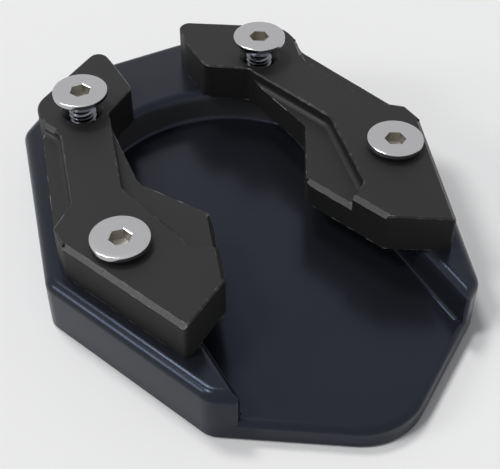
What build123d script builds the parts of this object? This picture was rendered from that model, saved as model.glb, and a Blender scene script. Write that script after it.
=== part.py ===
"""Kickstand foot enlarger: a machined base plate with a pocket for the stand's foot.

A clamp on either side reaches over the pocket and holds the foot down. Each is bolted
to the plate with two countersunk M6 socket screws. The left clamp mirrors the right one,
but for its slimmer rear boss.

Axes: +Z up, +Y towards the pocket's closed end, +X to the right, origin at the centre
of the plate's underside. The plate is symmetrical about X = 0. Sizes in mm, angles in
degrees.
"""
import os
from math import cos, radians, sin, sqrt, tan

from build123d import *

os.makedirs("parts", exist_ok=True)

# Base plate, seen from above
plate_length = 121.0
plate_half_width = 46.3
widest_y = -3.3
front_corner_x = 30.5
front_angle = 33.0
nose_radius = 14.0
rear_corner_x = 33.8
rear_corner_y = 44.6
back_half_width = 14.5
plate_corner_radius = 5.0

# Base plate, seen from the side
land_height = 13.0
floor_height = 5.4
land_edge_radius = 2.2
front_edge_radius = 1.4
underside_chamfer = 0.6

# Pocket for the stand's foot
pocket_half_width = 24.9
pocket_back_y = 38.8
pocket_back_radius = 30.8
pocket_corner_radius = 6.0
pocket_foot_radius = 1.0
pocket_mouth_radius = 1.0
tip_overlap = 0.03

# Screws: the front pair is tight, the rear pair is backed out as in the photograph
front_screw_x = 31.7
front_screw_y = -9.3
rear_screw_x = 22.35
rear_screw_y = 33.9
backed_out = 3.3
screw_length = 20.0
thread_diameter = 6.0
head_diameter = 12.0
head_rim = 1.0
head_bevel = 0.25
socket_width = 4.0
socket_depth = 2.6
front_left_turn = -10.0
front_right_turn = 30.0
rear_left_turn = -4.0
rear_right_turn = 28.0

# Screw holes
clearance_diameter = 6.6
countersink_mouth = 9.6
countersink_angle = 90.0
tapped_clearance = 0.05
seat_clearance = 0.02
hole_run_out = 1.2

# Clamps
clamp_thickness = 9.0
lip_drop = 2.9
waist_drop = 2.0
wall_foot_radius = 1.1
broad_chamfer = 0.9
fine_chamfer = 0.3

clamp_top = land_height + clamp_thickness
lip_top = clamp_top - lip_drop
waist_top = clamp_top - waist_drop


def from_front(dx, dy):
    """Point in the right clamp's plan, measured from its front screw."""
    return (front_screw_x + dx, front_screw_y + dy)


def from_rear(dx, dy):
    """Point in the right clamp's plan, measured from its rear screw."""
    return (rear_screw_x + dx, rear_screw_y + dy)


# Base plate outline: right half from the nose to the back edge, then mirrored
nose_y = -plate_length / 2 - nose_radius * (1 / cos(radians(front_angle)) - 1)
front_corner_y = nose_y + front_corner_x * tan(radians(front_angle))
right_side = [
    (front_corner_x, front_corner_y),
    (plate_half_width, widest_y),
    (rear_corner_x, rear_corner_y),
    (back_half_width, plate_length / 2),
]
left_side = [(-x, y) for x, y in reversed(right_side)]
plate_radii = [nose_radius] + [plate_corner_radius] * (2 * len(right_side))

with BuildSketch() as plate_outline:
    with BuildLine():
        FilletPolyline([(0, nose_y)] + right_side + left_side, radius=plate_radii, close=True)
    make_face()

# The pocket's closed end is an arc that runs into straight sides
with BuildSketch() as pocket_outline:
    with Locations((0, pocket_back_y - pocket_back_radius)):
        Circle(pocket_back_radius)
    with Locations((0, pocket_back_y - plate_length / 2)):
        Rectangle(2 * pocket_half_width, plate_length, mode=Mode.INTERSECT)
    with Locations((0, pocket_back_y - pocket_back_radius)):
        Rectangle(2 * pocket_half_width, plate_length, align=(Align.CENTER, Align.MAX))
    fillet(pocket_outline.vertices().group_by(Axis.Y)[-1], radius=pocket_corner_radius)

# Cutter for the pocket, rounded at the wall's foot
with BuildPart() as pocket_cutter:
    with BuildSketch(Plane.XY.offset(floor_height)):
        add(pocket_outline.sketch)
    extrude(amount=land_height)
    fillet(pocket_cutter.faces().sort_by(Axis.Z)[0].edges(), radius=pocket_foot_radius)

# What the land's two sharp ends lose beside the pocket's mouth: each is cut back to a
# small cylinder, which stands out of the walls a little and so meets them at an angle
mouth_y = nose_y + pocket_half_width * tan(radians(front_angle))
half_corner = radians(45 - front_angle / 2)
tip_centre = pocket_mouth_radius / sin(half_corner)
with BuildSketch() as land_tips:
    with Locations(Location((pocket_half_width, mouth_y, 0), (0, 0, 45 + front_angle / 2))):
        with Locations((tip_centre - pocket_mouth_radius * sin(half_corner), 0)):
            Rectangle(plate_corner_radius, plate_corner_radius, align=(Align.MAX, Align.CENTER))
        with Locations((tip_centre, 0)):
            Circle(pocket_mouth_radius + tip_overlap, mode=Mode.SUBTRACT)
    mirror(about=Plane.YZ)

# The raised land round the pocket, with the rounded foot of the pocket's wall
with BuildPart() as land:
    add(plate_outline.sketch)
    extrude(amount=land_height)
    add(pocket_cutter.part, mode=Mode.SUBTRACT)
    with BuildSketch():
        offset(pocket_outline.sketch, amount=-pocket_foot_radius)
    extrude(amount=floor_height, mode=Mode.SUBTRACT)
    fillet(land.faces().sort_by(Axis.Z)[-1].edges(), radius=land_edge_radius)
    add(land_tips.sketch)
    extrude(amount=land_height, mode=Mode.SUBTRACT)

with BuildPart() as base_plate:
    # The floor plate, rounded where its edge lies open at the front
    add(plate_outline.sketch)
    extrude(amount=floor_height)
    fillet(base_plate.faces().sort_by(Axis.Z)[-1].edges(), radius=front_edge_radius)
    add(land.part)
    chamfer(base_plate.faces().sort_by(Axis.Z)[0].edges(), length=underside_chamfer)

    # Tapped holes for the four screws, deep enough for the tight pair
    tapped_bottom = clamp_top + (head_diameter - countersink_mouth) / 2 + head_rim - screw_length
    with Locations(
        *[
            (side * x, y, land_height)
            for x, y in ((front_screw_x, front_screw_y), (rear_screw_x, rear_screw_y))
            for side in (-1, 1)
        ]
    ):
        Hole(thread_diameter / 2 + tapped_clearance, depth=land_height - tapped_bottom + hole_run_out)

# Clamp outline on the right, counter-clockwise from the tip, with each corner's radius
lip_point = from_front(-20.5, 2.1)
inner_front = from_front(-13.7, -17.7)
outer_front = from_front(-1.75, -25.1)
shoulder = from_front(10.2, 5.1)
lip_front = from_front(-16.5, -9.5)
inner_and_front = [
    (from_rear(-13.05, 13.1), 12.0),
    (from_rear(-13.05, 2.4), 2.5),
    (from_rear(-4.5, -3.6), 2.0),
    (from_front(-11.4, 17.8), 4.0),
    (lip_point, 3.0),
    (inner_front, 2.2),
    (outer_front, 0.8),
    (shoulder, 2.0),
    (from_front(9.9, 10.4), 2.0),
]
# The rear bosses differ in the photograph: the left one is slimmer
rear_boss = {
    "right_clamp": [
        (from_rear(11.05, -1.4), 1.5),
        (from_rear(11.05, 8.1), 6.5),
        (from_rear(-11.0, 22.2), 2.4),
    ],
    "left_clamp": [
        (from_rear(10.7, -3.0), 1.0),
        (from_rear(9.0, -0.7), 1.5),
        (from_rear(9.15, 6.6), 7.0),
        (from_rear(-12.7, 20.9), 2.4),
    ],
}
# Back wall of the waist: its inner corner, where its broad chamfer starts, its outer end
waist_back = {
    "right_clamp": (from_rear(8.6, -6.4), from_rear(9.15, -4.75), from_rear(11.3, 1.7)),
    "left_clamp": (from_rear(7.5, -5.6), from_rear(8.15, -4.05), from_rear(9.75, -0.15)),
}
# Step between the clamp's top face and its lip over the pocket
lip_step = [
    (from_rear(-4.65, -4.1), 0),
    (from_front(-6.8, 15.3), 5.0),
    (from_front(-11.9, -6.5), 2.2),
    (from_front(-17.7, -10.3), 0),
    (from_front(-30.0, -10.3), 0),
    (from_rear(-20.0, -4.1), 0),
]

clamps = {}
for side, (back_inner, back_start, back_outer) in waist_back.items():
    # Step down to the waist between the screw bosses, on the outer side
    waist_step = [
        (from_front(12.3, 8.4), 0),
        (from_front(4.2, 15.7), 2.0),
        (back_inner, 4.5),
        (back_outer, 0),
        (from_rear(22.0, 5.1), 0),
    ]
    # Cutters for the two steps, rounded at the wall's foot and flared at its top edge
    with BuildPart() as step_cutters:
        for corners, floor_z in ((lip_step, lip_top), (waist_step, waist_top)):
            points, radii = zip(*corners)
            with BuildSketch(Plane.XY.offset(floor_z)) as step_outline:
                with BuildLine():
                    FilletPolyline(*points, radius=radii, close=True)
                make_face()
            extrude(amount=clamp_top - floor_z)
            floor_edges = step_cutters.faces(Select.LAST).sort_by(Axis.Z)[0].edges()
            fillet(floor_edges, radius=wall_foot_radius)
            with BuildSketch(Plane.XY.offset(clamp_top - fine_chamfer)):
                add(step_outline.sketch)
            extrude(amount=2 * fine_chamfer, taper=-45)

    points, radii = zip(*inner_and_front, *rear_boss[side])
    with BuildPart() as clamp:
        with BuildSketch(Plane.XY.offset(land_height)):
            with BuildLine():
                FilletPolyline(*points, radius=radii, close=True)
            make_face()
        extrude(amount=clamp_thickness)
        chamfer(clamp.faces().sort_by(Axis.Z)[-1].edges(), length=fine_chamfer)
        add(step_cutters.part, mode=Mode.SUBTRACT)

        # Broad chamfers: outer front edge, nose, the nose's lip, back wall of the waist
        for start, end, z in (
            (outer_front, shoulder, clamp_top),
            (inner_front, lip_point, clamp_top),
            (lip_front, lip_point, lip_top),
            (back_start, back_outer, clamp_top),
        ):
            run = Vector(*end) - Vector(*start)
            with BuildSketch(Plane(origin=(*start, z), z_dir=run)):
                Rectangle(broad_chamfer * sqrt(2), broad_chamfer * sqrt(2), rotation=45)
            extrude(amount=run.length, mode=Mode.SUBTRACT)

        # Clearance holes, countersunk for the screw heads
        with Locations(
            (front_screw_x, front_screw_y, clamp_top),
            (rear_screw_x, rear_screw_y, clamp_top),
        ):
            CounterSinkHole(
                radius=clearance_diameter / 2,
                counter_sink_radius=countersink_mouth / 2,
                counter_sink_angle=countersink_angle,
            )
        if side == "left_clamp":
            mirror(about=Plane.YZ, mode=Mode.REPLACE)
    clamps[side] = clamp.part

# Countersunk screw with its tip at the origin, turned from one profile
cone_height = (head_diameter - thread_diameter) / 2 / tan(radians(countersink_angle / 2))
with BuildPart() as screw:
    with BuildSketch(Plane.XZ):
        with BuildLine():
            Polyline(
                (0, 0),
                (thread_diameter / 2, 0),
                (thread_diameter / 2, screw_length - head_rim - cone_height),
                (head_diameter / 2, screw_length - head_rim),
                (head_diameter / 2, screw_length - head_bevel),
                (head_diameter / 2 - head_bevel, screw_length),
                (0, screw_length),
                close=True,
            )
        make_face()
    revolve(axis=Axis.Z)
    with BuildSketch(Plane.XY.offset(screw_length)):
        RegularPolygon(radius=socket_width / 2, side_count=6, major_radius=False)
    extrude(amount=-socket_depth, mode=Mode.SUBTRACT)

# The cone of a tight screw lies on its countersink; a backed-out one stands above it
head_stand = (head_diameter - countersink_mouth) / 2 + head_rim + seat_clearance
tight_tip = clamp_top + head_stand - screw_length
screw_places = {
    "front_left_screw": (-front_screw_x, front_screw_y, tight_tip, front_left_turn),
    "front_right_screw": (front_screw_x, front_screw_y, tight_tip, front_right_turn),
    "rear_left_screw": (-rear_screw_x, rear_screw_y, tight_tip + backed_out, rear_left_turn),
    "rear_right_screw": (rear_screw_x, rear_screw_y, tight_tip + backed_out, rear_right_turn),
}

base_plate.part.label = "base_plate"
pieces = [base_plate.part]
for side, clamp_part in clamps.items():
    clamp_part.label = side
    pieces.append(clamp_part)
for name, (x, y, z, turn) in screw_places.items():
    placed = Location((x, y, z), (0, 0, turn)) * screw.part
    placed.label = name
    pieces.append(placed)

for piece in pieces:
    export_step(piece, f"parts/{piece.label}.step")
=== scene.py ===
"""Kickstand foot enlarger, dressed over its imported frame.

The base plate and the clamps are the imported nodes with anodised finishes. Each screw is a
new piece with a rolled M6 thread and a broached socket, in the place of its plain node.
Sizes are in millimetres and turned to metres where a mesh or a node takes them.
"""

import logging
from dataclasses import dataclass
from enum import Enum
from math import cos, pi, radians, sin

import bmesh
import bpy
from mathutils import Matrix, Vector


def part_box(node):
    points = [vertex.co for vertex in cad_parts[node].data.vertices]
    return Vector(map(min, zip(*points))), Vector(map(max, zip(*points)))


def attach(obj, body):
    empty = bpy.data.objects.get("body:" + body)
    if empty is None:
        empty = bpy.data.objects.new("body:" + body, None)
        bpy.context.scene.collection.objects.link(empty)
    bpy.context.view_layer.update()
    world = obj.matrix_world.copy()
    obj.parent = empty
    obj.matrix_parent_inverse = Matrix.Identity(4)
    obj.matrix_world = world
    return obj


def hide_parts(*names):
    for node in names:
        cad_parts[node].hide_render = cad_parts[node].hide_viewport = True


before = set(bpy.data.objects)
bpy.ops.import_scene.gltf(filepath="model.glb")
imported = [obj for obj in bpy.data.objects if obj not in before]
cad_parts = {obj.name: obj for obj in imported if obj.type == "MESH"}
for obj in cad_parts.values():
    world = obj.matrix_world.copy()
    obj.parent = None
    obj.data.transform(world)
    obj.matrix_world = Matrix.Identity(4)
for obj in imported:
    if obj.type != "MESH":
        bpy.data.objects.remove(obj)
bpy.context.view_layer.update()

MM = 0.001
# The wave texture repeats this many times over one unit at scale 1, divided by 2 pi
WAVE_UNITS = 20 / (2 * pi)
BEVEL_SAMPLES = 6
LOG = logging.getLogger("foot_enlarger")
Ring = list[bmesh.types.BMVert]
# Profile of one turn of thread, as shares of the pitch and of the way from root to crest
THREAD_PROFILE = ((0.0, 0.0), (0.12, 0.0), (0.44, 1.0), (0.56, 1.0), (0.88, 0.0))


class Side(Enum):
    """Side of the plate, as seen from the pocket's open end."""

    LEFT = "left"
    RIGHT = "right"


class ScrewPlace(Enum):
    """Node that a screw stands for, with the turn of its socket in degrees."""

    FRONT_LEFT = ("front_left_screw", -10.0)
    FRONT_RIGHT = ("front_right_screw", 30.0)
    REAR_LEFT = ("rear_left_screw", -4.0)
    REAR_RIGHT = ("rear_right_screw", 28.0)


class ScrewFinish(Enum):
    """Material slot of each part of a screw's mesh."""

    SKIN = 0
    SOCKET = 1
    THREAD = 2


def linear(hex_colour: str) -> tuple[float, float, float, float]:
    """Turn an sRGB hex colour to the linear colour that shaders take.

    Args:
        hex_colour: Six hex digits after a hash sign.

    Returns:
        Linear red, green, blue and an alpha of 1.
    """
    channels = [int(hex_colour[i : i + 2], 16) / 255 for i in (1, 3, 5)]
    red, green, blue = [
        value / 12.92 if value <= 0.04045 else ((value + 0.055) / 1.055) ** 2.4
        for value in channels
    ]
    return (red, green, blue, 1.0)


def add_node(
    tree: bpy.types.NodeTree, kind: str, settings: dict | None = None, links: dict | None = None
) -> bpy.types.Node:
    """Add one node with its settings and its incoming links.

    Args:
        tree: Node tree that gets the node.
        kind: Blender's identifier of the node's type.
        settings: Attribute names, or input names and numbers, with their values.
        links: Input names or numbers with the sockets that feed them.

    Returns:
        The new node.
    """
    node = tree.nodes.new(kind)
    for key, value in (settings or {}).items():
        if isinstance(key, str) and hasattr(node, key):
            setattr(node, key, value)
        else:
            node.inputs[key].default_value = value
    for key, socket in (links or {}).items():
        tree.links.new(socket, node.inputs[key])
    return node


def new_material(name: str) -> tuple[bpy.types.Material, bpy.types.NodeTree]:
    """Make an empty node material.

    Args:
        name: Name of the real material and process.

    Returns:
        The material and its node tree.
    """
    material = bpy.data.materials.new(name)
    material.use_nodes = True
    material.node_tree.nodes.clear()
    return material, material.node_tree


def per_mm(size: float) -> float:
    """Scale of a texture whose features are this many millimetres wide."""
    return 1.0 / (size * MM)


@dataclass(frozen=True)
class SealedAnodising:
    """Satin navy-black anodised aluminium with a glossy hot-water seal.

    The dye lies in a clear oxide layer: the colour stays nearly black, and the eye sees
    the room in the smooth sealed skin, spread a little by the fine blasted surface. The
    pocket's round end was milled after the blast, so it looks duller. Its wall there is
    also painted a lighter grey: painted fill light where the lamps leave it in shade.
    """

    name: str = "sealed_navy_anodised_aluminium"
    dye: str = "#18191C"
    worn_dye: str = "#1B1D22"
    skin_tint: str = "#CBDAFF"
    # Lighter grey painted on the pocket's end wall: painted fill light
    painted_fill_grey: str = "#48484A"
    milled_roughness: float = 0.5
    ior: float = 1.36
    roughness: float = 0.22
    grain_mm: float = 0.45
    cloud_mm: float = 22.0
    bump_mm: float = 0.012
    edge_radius_mm: float = 0.25
    pocket_half_width_mm: float = 25.3
    pocket_back_mm: float = 39.5
    pocket_floor_mm: float = 5.45
    round_end_mm: tuple[float, float] = (0.0, 22.0)
    upright_normal: tuple[float, float] = (0.75, 0.05)
    grain_range: tuple[float, float] = (0.3, 0.7)
    gloss_spread: tuple[float, float] = (-0.04, 0.05)
    bump_strength: float = 0.35

    def pocket_walls(
        self, tree: bpy.types.NodeTree, place: bpy.types.NodeSocket
    ) -> bpy.types.NodeSocket:
        """Find the pocket's upright wall round its closed end, where the cutter turned.

        That wall gets painted fill light in a lighter grey, and a rougher finish.

        Args:
            tree: Node tree that gets the nodes.
            place: Object coordinates in metres.

        Returns:
            A socket that is 1 on that wall and 0 elsewhere.
        """
        at = add_node(tree, "ShaderNodeSeparateXYZ", links={"Vector": place})
        surface = add_node(tree, "ShaderNodeNewGeometry")
        facing = add_node(
            tree, "ShaderNodeSeparateXYZ", links={"Vector": surface.outputs["Normal"]}
        )
        across = add_node(tree, "ShaderNodeMath", {"operation": "ABSOLUTE"}, {0: at.outputs["X"]})
        tests = (
            ("LESS_THAN", self.pocket_half_width_mm * MM, across.outputs["Value"]),
            ("LESS_THAN", self.pocket_back_mm * MM, at.outputs["Y"]),
            ("GREATER_THAN", self.pocket_floor_mm * MM, at.outputs["Z"]),
        )
        upright = add_node(
            tree,
            "ShaderNodeMapRange",
            {"From Min": self.upright_normal[0], "From Max": self.upright_normal[1]},
            {"Value": facing.outputs["Z"]},
        )
        closed_end = add_node(
            tree,
            "ShaderNodeMapRange",
            {"From Min": self.round_end_mm[0] * MM, "From Max": self.round_end_mm[1] * MM},
            {"Value": at.outputs["Y"]},
        )
        wall = add_node(
            tree,
            "ShaderNodeMath",
            {"operation": "MULTIPLY"},
            {0: upright.outputs["Result"], 1: closed_end.outputs["Result"]},
        )
        found = wall.outputs["Value"]
        for operation, limit, source in tests:
            test = add_node(tree, "ShaderNodeMath", {"operation": operation, 1: limit}, {0: source})
            both = add_node(
                tree,
                "ShaderNodeMath",
                {"operation": "MULTIPLY"},
                {0: found, 1: test.outputs["Value"]},
            )
            found = both.outputs["Value"]
        return found

    def build(self) -> bpy.types.Material:
        """Build the material.

        Returns:
            The finished material.
        """
        material, tree = new_material(self.name)
        place = add_node(tree, "ShaderNodeTexCoord")
        # The blast grain is about 0.05 mm and is drawn coarser, so that it shows
        grain = add_node(
            tree,
            "ShaderNodeTexNoise",
            {"Scale": per_mm(self.grain_mm), "Detail": 3.0, "Roughness": 0.6},
            {"Vector": place.outputs["Object"]},
        )
        cloud = add_node(
            tree,
            "ShaderNodeTexNoise",
            {"Scale": per_mm(self.cloud_mm), "Detail": 4.0, "Roughness": 0.55},
            {"Vector": place.outputs["Object"]},
        )
        dye = add_node(
            tree,
            "ShaderNodeMix",
            {"data_type": "RGBA", 6: linear(self.dye), 7: linear(self.worn_dye)},
            {0: cloud.outputs["Fac"]},
        )
        # Pocket's end wall: painted fill light in lighter grey, and a rougher milled finish
        milled = self.pocket_walls(tree, place.outputs["Object"])
        skin = add_node(
            tree,
            "ShaderNodeMix",
            {"data_type": "RGBA", 7: linear(self.painted_fill_grey)},
            {0: milled, 6: dye.outputs[2]},
        )
        gloss = add_node(
            tree,
            "ShaderNodeMapRange",
            {
                "From Min": self.grain_range[0],
                "From Max": self.grain_range[1],
                "To Min": self.roughness + self.gloss_spread[0],
                "To Max": self.roughness + self.gloss_spread[1],
            },
            {"Value": grain.outputs["Fac"]},
        )
        sheen = add_node(
            tree,
            "ShaderNodeMix",
            {"data_type": "FLOAT", 3: self.milled_roughness},
            {0: milled, 2: gloss.outputs["Result"]},
        )
        edge = add_node(
            tree,
            "ShaderNodeBevel",
            {"samples": BEVEL_SAMPLES, "Radius": self.edge_radius_mm * MM},
        )
        bump = add_node(
            tree,
            "ShaderNodeBump",
            {"Strength": self.bump_strength, "Distance": self.bump_mm * MM},
            {"Height": grain.outputs["Fac"], "Normal": edge.outputs["Normal"]},
        )
        shader = add_node(
            tree,
            "ShaderNodeBsdfPrincipled",
            {"Metallic": 0.0, "IOR": self.ior, "Specular Tint": linear(self.skin_tint)},
            {
                "Base Color": skin.outputs[2],
                "Roughness": sheen.outputs[0],
                "Normal": bump.outputs["Normal"],
            },
        )
        add_node(tree, "ShaderNodeOutputMaterial", links={"Surface": shader.outputs["BSDF"]})
        return material


@dataclass(frozen=True)
class BlastedAnodising:
    """Bead-blasted aluminium, anodised matt black, with chamfers milled after the blast.

    The blast spreads all reflections, so the faces look flat. The cutter left the
    chamfers smoother, so those that face a lamp stand out as pale bands. Broken pale lines
    are painted along the sharp edges in patches: painted highlight, and partly dye worn off
    by handling.
    """

    name: str = "blasted_black_anodised_aluminium"
    dye: str = "#0E0E0E"
    ior: float = 1.39
    roughness: float = 0.58
    chamfer_roughness: float = 0.31
    chatter_roughness: float = 0.42
    chatter_mm: float = 0.6
    grain_mm: float = 0.35
    bump_mm: float = 0.02
    # Pale colour on the sharp edges: painted highlight, partly worn dye
    highlight_and_wear: str = "#A9A8A4"
    highlight_and_wear_width_mm: float = 0.34
    highlight_and_wear_patch_mm: float = 2.2
    highlight_and_wear_bend: tuple[float, float] = (0.975, 0.88)
    highlight_and_wear_share: tuple[float, float] = (0.5, 0.7)
    chamfer_normal: float = 0.707
    chamfer_margin: float = 0.1
    bump_strength: float = 0.3

    def highlighted_and_worn_edges(
        self, tree: bpy.types.NodeTree, place: bpy.types.NodeSocket
    ) -> bpy.types.NodeSocket:
        """Find the sharp square edges that get broken pale lines: painted highlight, partly worn
        dye.

        Args:
            tree: Node tree that gets the nodes.
            place: Object coordinates in metres.

        Returns:
            A socket that is 1 on worn edges and 0 elsewhere.
        """
        # Pale edge lines, painted highlight and partly worn dye, are about 0.1 mm wide and are
        # drawn wider, so that they show
        rounded = add_node(
            tree,
            "ShaderNodeBevel",
            {"samples": BEVEL_SAMPLES, "Radius": self.highlight_and_wear_width_mm * MM},
        )
        surface = add_node(tree, "ShaderNodeNewGeometry")
        match = add_node(
            tree,
            "ShaderNodeVectorMath",
            {"operation": "DOT_PRODUCT"},
            {0: rounded.outputs["Normal"], 1: surface.outputs["Normal"]},
        )
        # A square edge bends the rounded normal by up to 45 degrees, a chamfer by half that
        edge = add_node(
            tree,
            "ShaderNodeMapRange",
            {"From Min": self.highlight_and_wear_bend[0], "From Max": self.highlight_and_wear_bend[1]},
            {"Value": match.outputs["Value"]},
        )
        patches = add_node(
            tree,
            "ShaderNodeTexNoise",
            {"Scale": per_mm(self.highlight_and_wear_patch_mm), "Detail": 3.0},
            {"Vector": place},
        )
        share = add_node(
            tree,
            "ShaderNodeMapRange",
            {"From Min": self.highlight_and_wear_share[0], "From Max": self.highlight_and_wear_share[1]},
            {"Value": patches.outputs["Fac"]},
        )
        # Edge mask broken into patches: painted highlight, partly worn dye
        worn = add_node(
            tree,
            "ShaderNodeMath",
            {"operation": "MULTIPLY"},
            {0: edge.outputs["Result"], 1: share.outputs["Result"]},
        )
        return worn.outputs["Value"]

    def build(self) -> bpy.types.Material:
        """Build the material.

        Returns:
            The finished material.
        """
        material, tree = new_material(self.name)
        place = add_node(tree, "ShaderNodeTexCoord")
        # The blast grain is about 0.08 mm and is drawn coarser, so that it shows
        grain = add_node(
            tree,
            "ShaderNodeTexNoise",
            {"Scale": per_mm(self.grain_mm), "Detail": 2.0, "Roughness": 0.6},
            {"Vector": place.outputs["Object"]},
        )
        facing = add_node(tree, "ShaderNodeNewGeometry")
        split = add_node(
            tree, "ShaderNodeSeparateXYZ", links={"Vector": facing.outputs["Normal"]}
        )
        # Chamfers are the faces at 45 degrees
        chamfer = add_node(
            tree,
            "ShaderNodeMath",
            {"operation": "COMPARE", 1: self.chamfer_normal, 2: self.chamfer_margin},
            {0: split.outputs["Z"]},
        )
        # Cutter chatter is about 0.3 mm apart and is drawn coarser, so that it shows
        chatter = add_node(
            tree,
            "ShaderNodeTexWave",
            {
                "wave_type": "BANDS",
                "bands_direction": "Y",
                "Scale": per_mm(self.chatter_mm) / WAVE_UNITS,
                "Distortion": 7.0,
                "Detail": 3.0,
            },
            {"Vector": place.outputs["Object"]},
        )
        cut = add_node(
            tree,
            "ShaderNodeMapRange",
            {"To Min": self.chamfer_roughness, "To Max": self.chatter_roughness},
            {"Value": chatter.outputs["Fac"]},
        )
        gloss = add_node(
            tree,
            "ShaderNodeMix",
            {"data_type": "FLOAT", 2: self.roughness},
            {0: chamfer.outputs["Value"], 3: cut.outputs["Result"]},
        )
        bump = add_node(
            tree,
            "ShaderNodeBump",
            {"Strength": self.bump_strength, "Distance": self.bump_mm * MM},
            {"Height": grain.outputs["Fac"]},
        )
        # Pale lines on the sharp edges: painted highlight, partly worn dye
        colour = add_node(
            tree,
            "ShaderNodeMix",
            {"data_type": "RGBA", 6: linear(self.dye), 7: linear(self.highlight_and_wear)},
            {0: self.highlighted_and_worn_edges(tree, place.outputs["Object"])},
        )
        shader = add_node(
            tree,
            "ShaderNodeBsdfPrincipled",
            {"Metallic": 0.0, "IOR": self.ior},
            {
                "Base Color": colour.outputs[2],
                "Roughness": gloss.outputs[0],
                "Normal": bump.outputs["Normal"],
            },
        )
        add_node(tree, "ShaderNodeOutputMaterial", links={"Surface": shader.outputs["BSDF"]})
        return material


@dataclass(frozen=True)
class BrightPlating:
    """Bright zinc-nickel plating over turned steel.

    The plating is nearly a mirror, so the heads take the tone of the room. Faint turning
    rings break the reflection and keep it from looking like glass.
    """

    name: str = "bright_plated_turned_steel"
    metal: str = "#B7B7B9"
    roughness: float = 0.17
    gloss_spread: tuple[float, float] = (-0.03, 0.05)
    ring_mm: float = 0.35
    ring_wobble: float = 0.4
    bump_mm: float = 0.004
    bump_strength: float = 0.4

    def build(self) -> bpy.types.Material:
        """Build the material.

        Returns:
            The finished material.
        """
        material, tree = new_material(self.name)
        place = add_node(tree, "ShaderNodeTexCoord")
        # Feed marks are about 0.1 mm apart and are drawn coarser, so that they show
        rings = add_node(
            tree,
            "ShaderNodeTexWave",
            {
                "wave_type": "RINGS",
                "rings_direction": "Z",
                "Scale": per_mm(self.ring_mm) / WAVE_UNITS,
                "Distortion": self.ring_wobble,
                "Detail": 1.0,
            },
            {"Vector": place.outputs["Object"]},
        )
        gloss = add_node(
            tree,
            "ShaderNodeMapRange",
            {
                "To Min": self.roughness + self.gloss_spread[0],
                "To Max": self.roughness + self.gloss_spread[1],
            },
            {"Value": rings.outputs["Fac"]},
        )
        bump = add_node(
            tree,
            "ShaderNodeBump",
            {"Strength": self.bump_strength, "Distance": self.bump_mm * MM},
            {"Height": rings.outputs["Fac"]},
        )
        shader = add_node(
            tree,
            "ShaderNodeBsdfPrincipled",
            {"Base Color": linear(self.metal), "Metallic": 1.0},
            {"Roughness": gloss.outputs["Result"], "Normal": bump.outputs["Normal"]},
        )
        add_node(tree, "ShaderNodeOutputMaterial", links={"Surface": shader.outputs["BSDF"]})
        return material


@dataclass(frozen=True)
class RolledThread:
    """Rolled thread whose colour is painted dark: painted shade for the shadow under the head.

    The crests catch the lamps as bright lines, and the flanks between them stay dark.
    """

    name: str = "rolled_thread_painted_shade"
    # Darker than the head's plating: painted shade under the head
    metal: str = "#74777D"
    roughness: float = 0.2
    gloss_spread: tuple[float, float] = (-0.06, 0.12)
    scuff_mm: float = 0.5

    def build(self) -> bpy.types.Material:
        """Build the material.

        Returns:
            The finished material.
        """
        material, tree = new_material(self.name)
        place = add_node(tree, "ShaderNodeTexCoord")
        scuffs = add_node(
            tree,
            "ShaderNodeTexNoise",
            {"Scale": per_mm(self.scuff_mm), "Detail": 3.0},
            {"Vector": place.outputs["Object"]},
        )
        gloss = add_node(
            tree,
            "ShaderNodeMapRange",
            {
                "To Min": self.roughness + self.gloss_spread[0],
                "To Max": self.roughness + self.gloss_spread[1],
            },
            {"Value": scuffs.outputs["Fac"]},
        )
        shader = add_node(
            tree,
            "ShaderNodeBsdfPrincipled",
            {"Base Color": linear(self.metal), "Metallic": 1.0},
            {"Roughness": gloss.outputs["Result"]},
        )
        add_node(tree, "ShaderNodeOutputMaterial", links={"Surface": shader.outputs["BSDF"]})
        return material


@dataclass(frozen=True)
class BroachedSteel:
    """Broached socket wall of thinly plated steel.

    The punch scored it, so it looks dull and mottled beside the bright face.
    """

    name: str = "broached_socket_steel"
    metal: str = "#CFCBC4"
    shade: str = "#87857F"
    roughness: float = 0.45
    score_mm: float = 0.3

    def build(self) -> bpy.types.Material:
        """Build the material.

        Returns:
            The finished material.
        """
        material, tree = new_material(self.name)
        place = add_node(tree, "ShaderNodeTexCoord")
        scores = add_node(
            tree,
            "ShaderNodeTexNoise",
            {"Scale": per_mm(self.score_mm), "Detail": 2.0},
            {"Vector": place.outputs["Object"]},
        )
        colour = add_node(
            tree,
            "ShaderNodeMix",
            {"data_type": "RGBA", 6: linear(self.metal), 7: linear(self.shade)},
            {0: scores.outputs["Fac"]},
        )
        shader = add_node(
            tree,
            "ShaderNodeBsdfPrincipled",
            {"Metallic": 1.0, "Roughness": self.roughness},
            {"Base Color": colour.outputs[2]},
        )
        add_node(tree, "ShaderNodeOutputMaterial", links={"Surface": shader.outputs["BSDF"]})
        return material


@dataclass
class BasePlate:
    """The machined base plate with its pocket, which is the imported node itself."""

    node: str = "base_plate"
    finish: SealedAnodising = SealedAnodising()

    def dress(self) -> bpy.types.Object:
        """Give the node its finish.

        Returns:
            The dressed node.
        """
        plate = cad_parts[self.node]
        plate.data.materials[0] = self.finish.build()
        return plate


@dataclass
class ClampPair:
    """The two clamps that hold the stand's foot down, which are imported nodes."""

    finish: BlastedAnodising = BlastedAnodising()

    def dress(self) -> list[bpy.types.Object]:
        """Give both clamps one finish.

        Returns:
            The dressed nodes, left then right.
        """
        material = self.finish.build()
        clamps = [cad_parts[f"{side.value}_clamp"] for side in Side]
        for clamp in clamps:
            clamp.data.materials[0] = material
        return clamps


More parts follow.
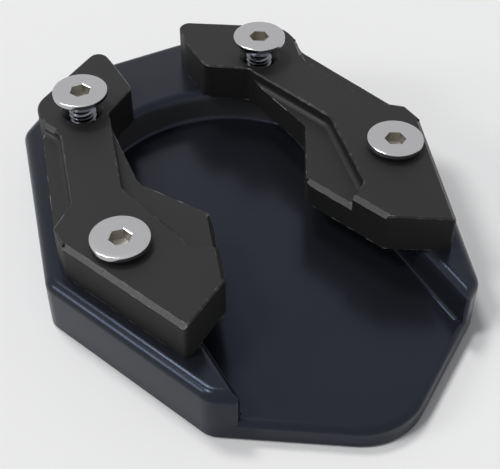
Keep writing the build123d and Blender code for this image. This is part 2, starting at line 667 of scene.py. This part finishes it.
@dataclass
class CountersunkScrew:
    """M6 countersunk socket screw with a rolled thread.

    The mesh stands in its own frame with its axis on Z and its top face at Z = 0.
    """

    place: ScrewPlace
    length: float = 20.0
    head_diameter: float = 12.0
    rim_height: float = 1.0
    rim_radius: float = 0.25
    thread_diameter: float = 6.0
    pitch: float = 1.0
    thread_depth: float = 0.61
    socket_width: float = 4.0
    socket_depth: float = 2.6
    socket_chamfer: float = 0.18
    tip_chamfer: float = 0.7
    tip_break: float = 0.2
    core_gap: float = 0.02
    rim_break: float = 0.08
    face_rings: tuple[float, float] = (1.4, 2.6)
    drill_gap: float = 0.12
    drill_point: float = 0.7
    neck: float = 0.25
    segments: int = 96
    rim_steps: int = 4
    crease: float = 28.0

    def hex_radius(self, angle: float, width: float) -> float:
        """Distance from the axis to a hexagon across flats `width` at this angle."""
        turn = (angle % (pi / 3)) - pi / 6
        return width / 2 / cos(turn)

    def ring(self, mesh: bmesh.types.BMesh, radius: float, z: float) -> Ring:
        """Add a round ring of vertices.

        Args:
            mesh: Mesh that gets the ring.
            radius: Radius in millimetres.
            z: Height in millimetres.

        Returns:
            The ring's vertices, counter-clockwise.
        """
        steps = [2 * pi * k / self.segments for k in range(self.segments)]
        return [
            mesh.verts.new((radius * cos(a) * MM, radius * sin(a) * MM, z * MM)) for a in steps
        ]

    def hex_ring(self, mesh: bmesh.types.BMesh, width: float, z: float) -> Ring:
        """Add a hexagonal ring of vertices with the same count as a round one.

        Args:
            mesh: Mesh that gets the ring.
            width: Width across flats in millimetres.
            z: Height in millimetres.

        Returns:
            The ring's vertices, counter-clockwise.
        """
        points = []
        for k in range(self.segments):
            angle = 2 * pi * k / self.segments
            radius = self.hex_radius(angle, width)
            points.append((radius * cos(angle) * MM, radius * sin(angle) * MM, z * MM))
        return [mesh.verts.new(point) for point in points]

    def join(
        self,
        mesh: bmesh.types.BMesh,
        lower: Ring,
        upper: Ring,
        finish: ScrewFinish = ScrewFinish.SKIN,
    ) -> None:
        """Close the band between two rings.

        Args:
            mesh: Mesh that gets the faces.
            lower: First ring.
            upper: Second ring, with as many vertices.
            finish: Finish of the faces.
        """
        count = len(lower)
        for k in range(count):
            after = (k + 1) % count
            face = mesh.faces.new((lower[k], lower[after], upper[after], upper[k]))
            face.material_index = finish.value

    def thread_rows(self, mesh: bmesh.types.BMesh, bottom: float, top: float) -> list[Ring]:
        """Add the helical rows of the thread between two heights.

        Args:
            mesh: Mesh that gets the vertices.
            bottom: Lower end of the thread in millimetres.
            top: Upper end of the thread in millimetres.

        Returns:
            Rows of vertices from the bottom up.
        """
        root = self.thread_diameter / 2 - self.core_gap - self.thread_depth
        turns = int((top - bottom) / self.pitch)
        rows = []
        for turn in range(turns):
            for share, rise in THREAD_PROFILE:
                row = []
                for k in range(self.segments):
                    angle = 2 * pi * k / self.segments
                    z = bottom + self.pitch * (turn + share + k / self.segments)
                    fade = min(1.0, (z - bottom) / self.pitch, max(0.0, (top - z) / self.pitch))
                    blend = root + self.thread_depth * rise * max(0.0, fade)
                    z = min(z, top)
                    row.append(
                        mesh.verts.new((blend * cos(angle) * MM, blend * sin(angle) * MM, z * MM))
                    )
                rows.append(row)
        return rows

    def join_helix(self, mesh: bmesh.types.BMesh, rows: list[Ring]) -> None:
        """Close the faces between helical rows, which climb one pitch in a turn.

        Args:
            mesh: Mesh that gets the faces.
            rows: Rows of vertices from the bottom up.
        """
        count, per_turn = self.segments, len(THREAD_PROFILE)
        for index in range(len(rows) - 1):
            for k in range(count - 1):
                face = mesh.faces.new(
                    (rows[index][k], rows[index][k + 1], rows[index + 1][k + 1], rows[index + 1][k])
                )
                face.material_index = ScrewFinish.THREAD.value
            if index + per_turn + 1 < len(rows):
                face = mesh.faces.new(
                    (
                        rows[index][count - 1],
                        rows[index + per_turn][0],
                        rows[index + per_turn + 1][0],
                        rows[index + 1][count - 1],
                    )
                )
                face.material_index = ScrewFinish.THREAD.value

    def build_mesh(self) -> bpy.types.Mesh:
        """Build the screw's mesh.

        Returns:
            The mesh, whose material slots follow ScrewFinish.
        """
        mesh = bmesh.new()
        head, shank = self.head_diameter / 2, self.thread_diameter / 2
        cone_foot = -self.rim_height - (head - shank)
        lowest = -self.length
        core = shank - self.thread_depth

        # Tip, and the core that carries the thread up to the cone
        tip = self.ring(mesh, shank - self.tip_chamfer - self.tip_break, lowest)
        collar = self.ring(mesh, core - self.core_gap, lowest + self.tip_chamfer)
        mesh.faces.new(list(reversed(tip)))
        self.join(mesh, tip, collar)
        neck_low = self.ring(mesh, core - self.core_gap, cone_foot)
        self.join(mesh, collar, neck_low, ScrewFinish.THREAD)

        # Head: cone, rim, rounded edge and top face
        neck_high = self.ring(mesh, shank, cone_foot)
        self.join(mesh, neck_low, neck_high)
        below = self.ring(mesh, head - self.rim_break, -self.rim_height - self.rim_break)
        self.join(mesh, neck_high, below)
        rim = self.ring(mesh, head, -self.rim_height)
        self.join(mesh, below, rim)
        last = self.ring(mesh, head, -self.rim_radius)
        self.join(mesh, rim, last)
        for step in range(1, self.rim_steps + 1):
            turn = pi / 2 * step / self.rim_steps
            radius = head - self.rim_radius * (1 - cos(turn))
            following = self.ring(mesh, radius, -self.rim_radius * (1 - sin(turn)))
            self.join(mesh, last, following)
            last = following
        for inset in self.face_rings:
            following = self.ring(mesh, head - inset, 0.0)
            self.join(mesh, last, following)
            last = following

        # Socket: broken mouth, six flats and a drilled cone in the floor
        mouth = self.hex_ring(mesh, self.socket_width + 2 * self.socket_chamfer, 0.0)
        self.join(mesh, last, mouth)
        flats_top = self.hex_ring(mesh, self.socket_width, -self.socket_chamfer)
        self.join(mesh, mouth, flats_top)
        floor_edge = self.hex_ring(mesh, self.socket_width, -self.socket_depth)
        self.join(mesh, flats_top, floor_edge, ScrewFinish.SOCKET)
        drill = self.ring(mesh, self.socket_width / 2 - self.drill_gap, -self.socket_depth)
        self.join(mesh, floor_edge, drill, ScrewFinish.SOCKET)
        point = mesh.verts.new((0, 0, (-self.socket_depth - self.drill_point) * MM))
        for k in range(self.segments):
            face = mesh.faces.new((drill[k], drill[(k + 1) % self.segments], point))
            face.material_index = ScrewFinish.SOCKET.value

        # Rolled thread over the core
        rows = self.thread_rows(mesh, lowest + self.tip_chamfer, cone_foot - self.neck)
        self.join_helix(mesh, rows)

        bmesh.ops.recalc_face_normals(mesh, faces=mesh.faces)
        for face in mesh.faces:
            face.smooth = True
        for edge in mesh.edges:
            if len(edge.link_faces) == 2 and edge.calc_face_angle(0.0) > radians(self.crease):
                edge.smooth = False
        data = bpy.data.meshes.new(f"{self.place.value[0]}_mesh")
        mesh.to_mesh(data)
        mesh.free()
        return data

    def build(self, finishes: list[bpy.types.Material]) -> bpy.types.Object:
        """Build the screw and put it in its node's place.

        Args:
            finishes: Materials in the order of ScrewFinish.

        Returns:
            The finished piece.
        """
        node, turn = self.place.value
        low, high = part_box(node)
        data = self.build_mesh()
        for finish in finishes:
            data.materials.append(finish)
        screw = bpy.data.objects.new(f"{node}_threaded", data)
        bpy.context.scene.collection.objects.link(screw)
        screw.location = ((low.x + high.x) / 2, (low.y + high.y) / 2, high.z)
        screw.rotation_euler = (0.0, 0.0, radians(turn))
        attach(screw, "root")
        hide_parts(node)
        return screw


def aim(light: bpy.types.Object, towards: tuple[float, float, float], reach: float) -> None:
    """Put a light in one direction from the part and turn it to the part.

    Args:
        light: Light object.
        towards: Direction from the part to the light.
        reach: Distance in metres.
    """
    line = Vector(towards).normalized()
    light.location = line * reach
    light.rotation_euler = (-line).to_track_quat("-Z", "Y").to_euler()
    bpy.context.scene.collection.objects.link(light)


@dataclass(frozen=True)
class KeyLamp:
    """Large far lamp that lights floor and part evenly and leaves soft shadows."""

    name: str
    towards: tuple[float, float, float]
    strength: float
    angle: float = 14.0
    reach: float = 1.0

    def build(self) -> bpy.types.Object:
        """Make the lamp.

        Returns:
            The light object.
        """
        data = bpy.data.lights.new(self.name, "SUN")
        data.energy = self.strength
        data.angle = radians(self.angle)
        light = bpy.data.objects.new(self.name, data)
        aim(light, self.towards, self.reach)
        return light


@dataclass(frozen=True)
class Softbox:
    """Small square softbox, whose level is the brightness of its face: 1 is white."""

    name: str
    towards: tuple[float, float, float]
    reach: float
    size: float
    level: float

    def build(self) -> bpy.types.Object:
        """Make the softbox.

        Returns:
            The light object.
        """
        data = bpy.data.lights.new(self.name, "AREA")
        data.size = self.size
        data.energy = self.level * pi * self.size**2
        light = bpy.data.objects.new(self.name, data)
        aim(light, self.towards, self.reach)
        return light


@dataclass
class Studio:
    """Plain pale floor, soft lights and the camera at the photograph's angle.

    The softbox draws the pale bands on the chamfers. It stands far off, so that it lights
    the floor evenly.
    """

    backdrop: str = "#EBEBEB"
    paper: str = "#EFEFEF"
    room: str = "#F4F5F8"
    room_strength: float = 0.33
    floor_size: float = 40.0
    camera_place: tuple[float, float, float] = (-78.0, -148.0, 164.8)
    camera_tilt: float = 44.19
    camera_heading: float = 28.29
    lens: float = 75.6
    sensor: float = 36.0
    clip_start: float = 0.01
    lights: tuple[KeyLamp | Softbox, ...] = (
        KeyLamp("back_key", (-0.08, 0.40, 0.91), 0.95),
        KeyLamp("left_key", (-0.56, 0.05, 0.83), 1.1),
        Softbox("left_strip", (-0.87, 0.20, 0.45), 3.6, 1.08, 8.0),
    )

    def camera(self) -> bpy.types.Object:
        """Make the camera.

        Returns:
            The camera object, set as the scene's camera.
        """
        data = bpy.data.cameras.new("photo_camera")
        data.sensor_width = self.sensor
        data.lens = self.lens
        data.clip_start = self.clip_start
        camera = bpy.data.objects.new("photo_camera", data)
        bpy.context.scene.collection.objects.link(camera)
        camera.location = Vector(self.camera_place) * MM
        tilt, heading = radians(90 - self.camera_tilt), radians(-self.camera_heading)
        camera.rotation_euler = (tilt, 0.0, heading)
        bpy.context.scene.camera = camera
        return camera

    def floor(self) -> bpy.types.Object:
        """Make the floor.

        Returns:
            The floor object.
        """
        half = self.floor_size / 2
        data = bpy.data.meshes.new("studio_floor")
        corners = [(-half, -half, 0), (half, -half, 0), (half, half, 0), (-half, half, 0)]
        data.from_pydata(corners, [], [(0, 1, 2, 3)])
        material, tree = new_material("matt_paper_floor")
        shader = add_node(tree, "ShaderNodeBsdfDiffuse", {"Color": linear(self.paper)})
        add_node(tree, "ShaderNodeOutputMaterial", links={"Surface": shader.outputs["BSDF"]})
        data.materials.append(material)
        floor = bpy.data.objects.new("studio_floor", data)
        bpy.context.scene.collection.objects.link(floor)
        return floor

    def world(self) -> bpy.types.World:
        """Make the world: an even room, shown in the backdrop's colour.

        Returns:
            The world.
        """
        world = bpy.data.worlds.new("studio_room")
        world.use_nodes = True
        tree = world.node_tree
        tree.nodes.clear()
        path = add_node(tree, "ShaderNodeLightPath")
        room = add_node(
            tree,
            "ShaderNodeBackground",
            {"Color": linear(self.room), "Strength": self.room_strength},
        )
        shown = add_node(
            tree, "ShaderNodeBackground", {"Color": linear(self.backdrop), "Strength": 1.0}
        )
        seen = path.outputs["Is Camera Ray"]
        for kind in ("Is Glossy Ray", "Is Transmission Ray"):
            both = add_node(
                tree, "ShaderNodeMath", {"operation": "MAXIMUM"}, {0: seen, 1: path.outputs[kind]}
            )
            seen = both.outputs["Value"]
        either = add_node(
            tree,
            "ShaderNodeMixShader",
            links={0: seen, 1: room.outputs["Background"], 2: shown.outputs["Background"]},
        )
        add_node(tree, "ShaderNodeOutputWorld", links={"Surface": either.outputs["Shader"]})
        bpy.context.scene.world = world
        return world

    def build(self) -> list[bpy.types.Object]:
        """Set up the whole studio.

        Returns:
            The floor, the camera and the lights.
        """
        self.world()
        bpy.context.scene.view_settings.view_transform = "Standard"
        return [self.floor(), self.camera(), *(light.build() for light in self.lights)]


def main() -> None:
    """Dress the part and set up the studio."""
    logging.basicConfig(level=logging.INFO, format="%(name)s: %(message)s")
    for item in Studio().build():
        LOG.info("set up %s", item.name)
    for node in (BasePlate().dress(), *ClampPair().dress()):
        LOG.info("dressed %s with %s", node.name, node.data.materials[0].name)
    finishes = [BrightPlating().build(), BroachedSteel().build(), RolledThread().build()]
    for place in ScrewPlace:
        screw = CountersunkScrew(place).build(finishes)
        LOG.info("built %s: %d faces", screw.name, len(screw.data.polygons))


if __name__ == "__main__":
    main()
